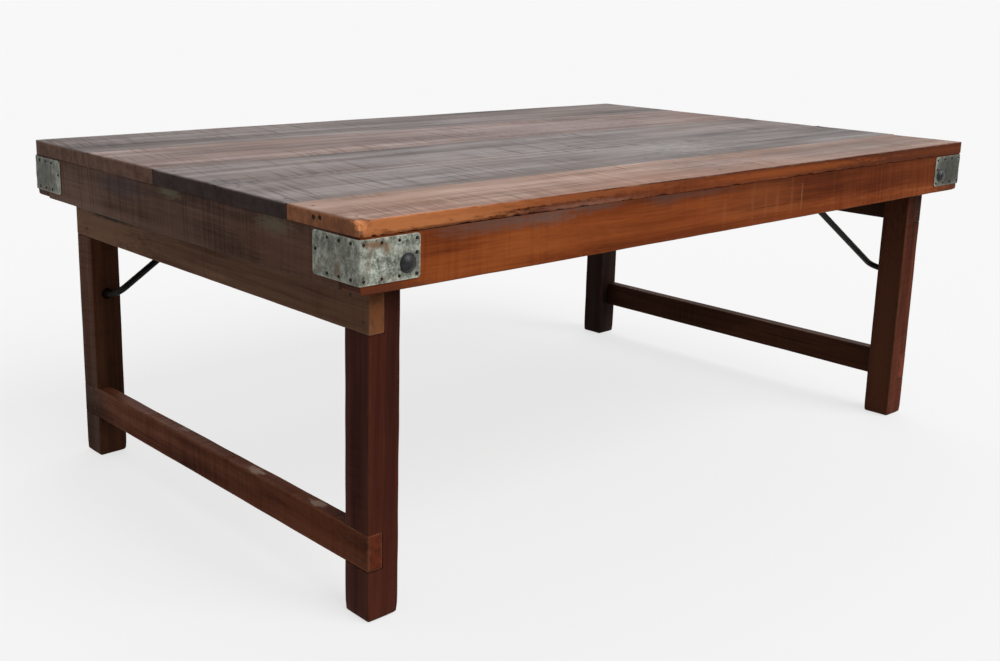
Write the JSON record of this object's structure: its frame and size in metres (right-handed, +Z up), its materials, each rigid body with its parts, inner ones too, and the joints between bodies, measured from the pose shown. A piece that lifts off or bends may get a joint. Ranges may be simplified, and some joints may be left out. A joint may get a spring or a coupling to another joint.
{
  "type": "folding coffee table",
  "caption": "Low folding coffee table of old planks on an apron frame, with metal corner plates and hinged leg frames held open by hooked stay rods.",
  "frame": {"origin": "on the floor, under the middle of the table's overall box, legs open", "axes": "+X along the table's length, towards the end where the planks run past the frame; +Y from the long side that faces the camera towards the back; +Z up"},
  "size_m": [1.2134, 0.7674, 0.458],
  "materials": {
    "plank_tan": "worn waxed old board, orange tan",
    "plank_grey": "worn waxed old board, weathered grey",
    "plank_pink": "worn waxed old board, pinkish tan",
    "plank_brown": "worn waxed old board, grey brown",
    "side_apron_wood": "waxed old board, warm orange brown with saw marks",
    "end_apron_wood": "waxed old board, dark grey brown with saw marks",
    "inner_wood": "raw old wood",
    "leg_wood": "waxed, dark red brown",
    "rail_wood": "waxed, brown",
    "galvanised_sheet": "mottled galvanised sheet with a little rust",
    "nail_iron": "dark forged iron",
    "bolt_steel": "dull dark steel",
    "rod_iron": "blackened iron"
  },
  "bodies": {
    "top": {"deck_plank_1": "plank_tan", "deck_plank_2": "plank_grey", "deck_plank_3": "plank_grey", "deck_plank_4": "plank_pink", "deck_plank_5": "plank_brown", "side_apron_front": "side_apron_wood", "side_apron_back": "side_apron_wood", "end_apron_left": "end_apron_wood", "end_apron_right": "end_apron_wood", "cross_batten_left": "inner_wood", "cross_batten_right": "inner_wood", "centre_rail": "inner_wood", "corner_plate_front_left": "galvanised_sheet", "corner_plate_back_left": "galvanised_sheet", "corner_plate_front_right": "galvanised_sheet", "corner_plate_back_right": "galvanised_sheet", "plate_nails_front_left": "nail_iron", "plate_nails_back_left": "nail_iron", "plate_nails_front_right": "nail_iron", "plate_nails_back_right": "nail_iron", "deck_nails": "nail_iron", "batten_nails": "nail_iron", "pivot_bolts": "bolt_steel", "pivot_washers": "bolt_steel", "pivot_nuts": "bolt_steel", "stay_pins": "rod_iron"},
    "leg_frame_left": {"leg_front_left": "leg_wood", "leg_back_left": "leg_wood", "upper_rail_left": "rail_wood", "lower_stretcher_left": "rail_wood", "lap_nails_left": "nail_iron"},
    "leg_frame_right": {"leg_front_right": "leg_wood", "leg_back_right": "leg_wood", "upper_rail_right": "rail_wood", "lower_stretcher_right": "rail_wood", "lap_nails_right": "nail_iron"},
    "stay_left": {"stay_rod_left": "rod_iron"},
    "stay_right": {"stay_rod_right": "rod_iron"}
  },
  "joints": [
    {"name": "leg_fold_left", "type": "hinge", "parent": "top", "child": "leg_frame_left", "pos_m": [-0.5448, 0, 0.4065], "axis": [0, -1, 0], "range_deg": [0, 90]},
    {"name": "leg_fold_right", "type": "hinge", "parent": "top", "child": "leg_frame_right", "pos_m": [0.5372, 0, 0.4065], "axis": [0, 1, 0], "range_deg": [0, 90]},
    {"name": "stay_swing_left", "type": "hinge", "parent": "top", "child": "stay_left", "pos_m": [-0.2718, 0.2775, 0.416], "axis": [-0.5392, 0, 0.8422], "range_deg": [0, 90]},
    {"name": "stay_swing_right", "type": "hinge", "parent": "top", "child": "stay_right", "pos_m": [0.2642, -0.2775, 0.416], "axis": [0.5392, 0, 0.8422], "range_deg": [0, 90]}
  ],
  "couplings": [
    {"joint": "stay_swing_left", "follows": "leg_fold_left", "ratio": 1},
    {"joint": "stay_swing_right", "follows": "leg_fold_right", "ratio": 1}
  ]
}
